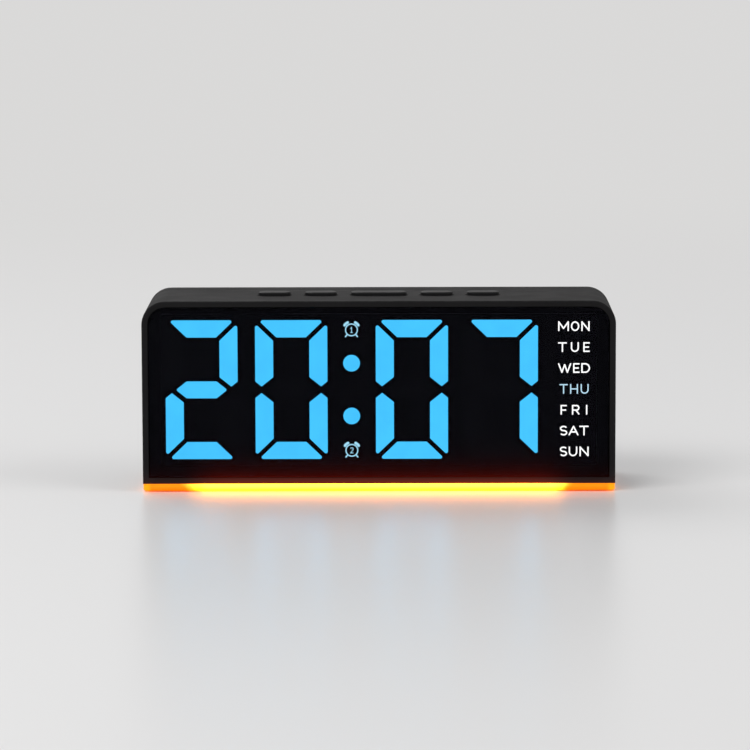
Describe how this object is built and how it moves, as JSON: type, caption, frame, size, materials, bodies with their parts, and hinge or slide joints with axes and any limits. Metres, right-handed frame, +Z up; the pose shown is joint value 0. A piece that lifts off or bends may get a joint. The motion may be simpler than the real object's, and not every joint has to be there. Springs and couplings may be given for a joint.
{
  "type": "digital led desk clock",
  "caption": "Black bedside clock with a lit seven-bar time display, weekday column, top buttons and an amber light bar along its foot.",
  "frame": {"origin": "on the table under the middle of the case", "axes": "+X to the right as one reads the clock, +Y to the rear, +Z up"},
  "size_m": [0.16, 0.045, 0.0662],
  "materials": {
    "case_plastic": "fine matt texture, moulded black ABS",
    "base_plastic": "matt moulded black ABS",
    "button_plastic": "satin black ABS",
    "smoked_lens": "polished smoked acrylic",
    "adhesive_tape": "black foam tape",
    "black_film": "matt black film",
    "reflector_plastic": "white moulded plastic",
    "milky_diffuser": "milky epoxy",
    "lit_diffuser": "milky epoxy, lit light blue",
    "dark_diffuser": "smoky epoxy, unlit",
    "led_package": "small LED package",
    "amber_led": "small amber LED package",
    "circuit_board": "green solder mask",
    "plated_steel": "nickel plated",
    "black_steel": "black oxide",
    "chip_epoxy": "moulded epoxy",
    "switch_plastic": "plain black plastic",
    "ribbon_vinyl": "grey ribbon insulation",
    "connector_plastic": "natural nylon",
    "wire_vinyl": "red wire insulation",
    "gold_plate": "gold flash",
    "amber_guide": "clear amber acrylic, lit",
    "black_rubber": "matt rubber"
  },
  "bodies": {
    "case": {"backup_cell": "plated_steel", "base_plate": "base_plastic", "base_screws": "black_steel", "button_board": "circuit_board", "button_board_screws": "plated_steel", "button_ribbon": "ribbon_vinyl", "cell_contacts": "plated_steel", "colon_dots": "lit_diffuser", "cover_screws": "black_steel", "display_board": "circuit_board", "display_board_screws": "plated_steel", "display_mask": "black_film", "display_reflector": "reflector_plastic", "driver_chip": "chip_epoxy", "front_housing": "case_plastic", "front_lens": "smoked_lens", "hour_tens_lit_bars": "lit_diffuser", "hour_units_lit_bars": "lit_diffuser", "lens_tape": "adhesive_tape", "light_board": "circuit_board", "light_guide": "amber_guide", "light_header_pins": "gold_plate", "light_leds": "amber_led", "minute_tens_lit_bars": "lit_diffuser", "minute_units_lit_bars": "lit_diffuser", "power_board": "circuit_board", "power_board_screws": "plated_steel", "power_ribbon": "ribbon_vinyl", "quartz_crystal": "plated_steel", "rear_cover": "case_plastic", "ribbon_connectors": "connector_plastic", "rubber_feet": "black_rubber", "segment_leds": "led_package", "sign_diffusers": "milky_diffuser", "signal_wires": "wire_vinyl", "sounder": "switch_plastic", "tact_switches": "switch_plastic", "timekeeping_chip": "chip_epoxy", "unlit_bars": "dark_diffuser", "usb_shell": "plated_steel", "usb_tongue": "switch_plastic", "weekday_diffusers": "milky_diffuser"},
    "down_button": {"down_button_cap": "button_plastic", "down_button_plunger": "switch_plastic"},
    "light_button": {"light_button_cap": "button_plastic", "light_button_plunger": "switch_plastic"},
    "mode_button": {"mode_button_cap": "button_plastic", "mode_button_plunger": "switch_plastic"},
    "snooze_button": {"snooze_button_cap": "button_plastic", "snooze_button_plunger": "switch_plastic"},
    "up_button": {"up_button_cap": "button_plastic", "up_button_plunger": "switch_plastic"},
    "battery_door": {"battery_door": "case_plastic"}
  },
  "joints": [
    {"name": "down_press", "type": "slide", "parent": "case", "child": "down_button", "axis": [0, 0, -1], "range_m": [0, 0.0006], "stiffness_N_per_m": 300, "springref_m": -0.0015},
    {"name": "light_press", "type": "slide", "parent": "case", "child": "light_button", "axis": [0, 0, -1], "range_m": [0, 0.0006], "stiffness_N_per_m": 300, "springref_m": -0.0015},
    {"name": "mode_press", "type": "slide", "parent": "case", "child": "mode_button", "axis": [0, 0, -1], "range_m": [0, 0.0006], "stiffness_N_per_m": 300, "springref_m": -0.0015},
    {"name": "snooze_press", "type": "slide", "parent": "case", "child": "snooze_button", "axis": [0, 0, -1], "range_m": [0, 0.0006], "stiffness_N_per_m": 300, "springref_m": -0.0015},
    {"name": "up_press", "type": "slide", "parent": "case", "child": "up_button", "axis": [0, 0, -1], "range_m": [0, 0.0006], "stiffness_N_per_m": 300, "springref_m": -0.0015},
    {"name": "battery_door_lift", "type": "slide", "parent": "case", "child": "battery_door", "axis": [0, 1, 0], "range_m": [0, 0.025]}
  ]
}
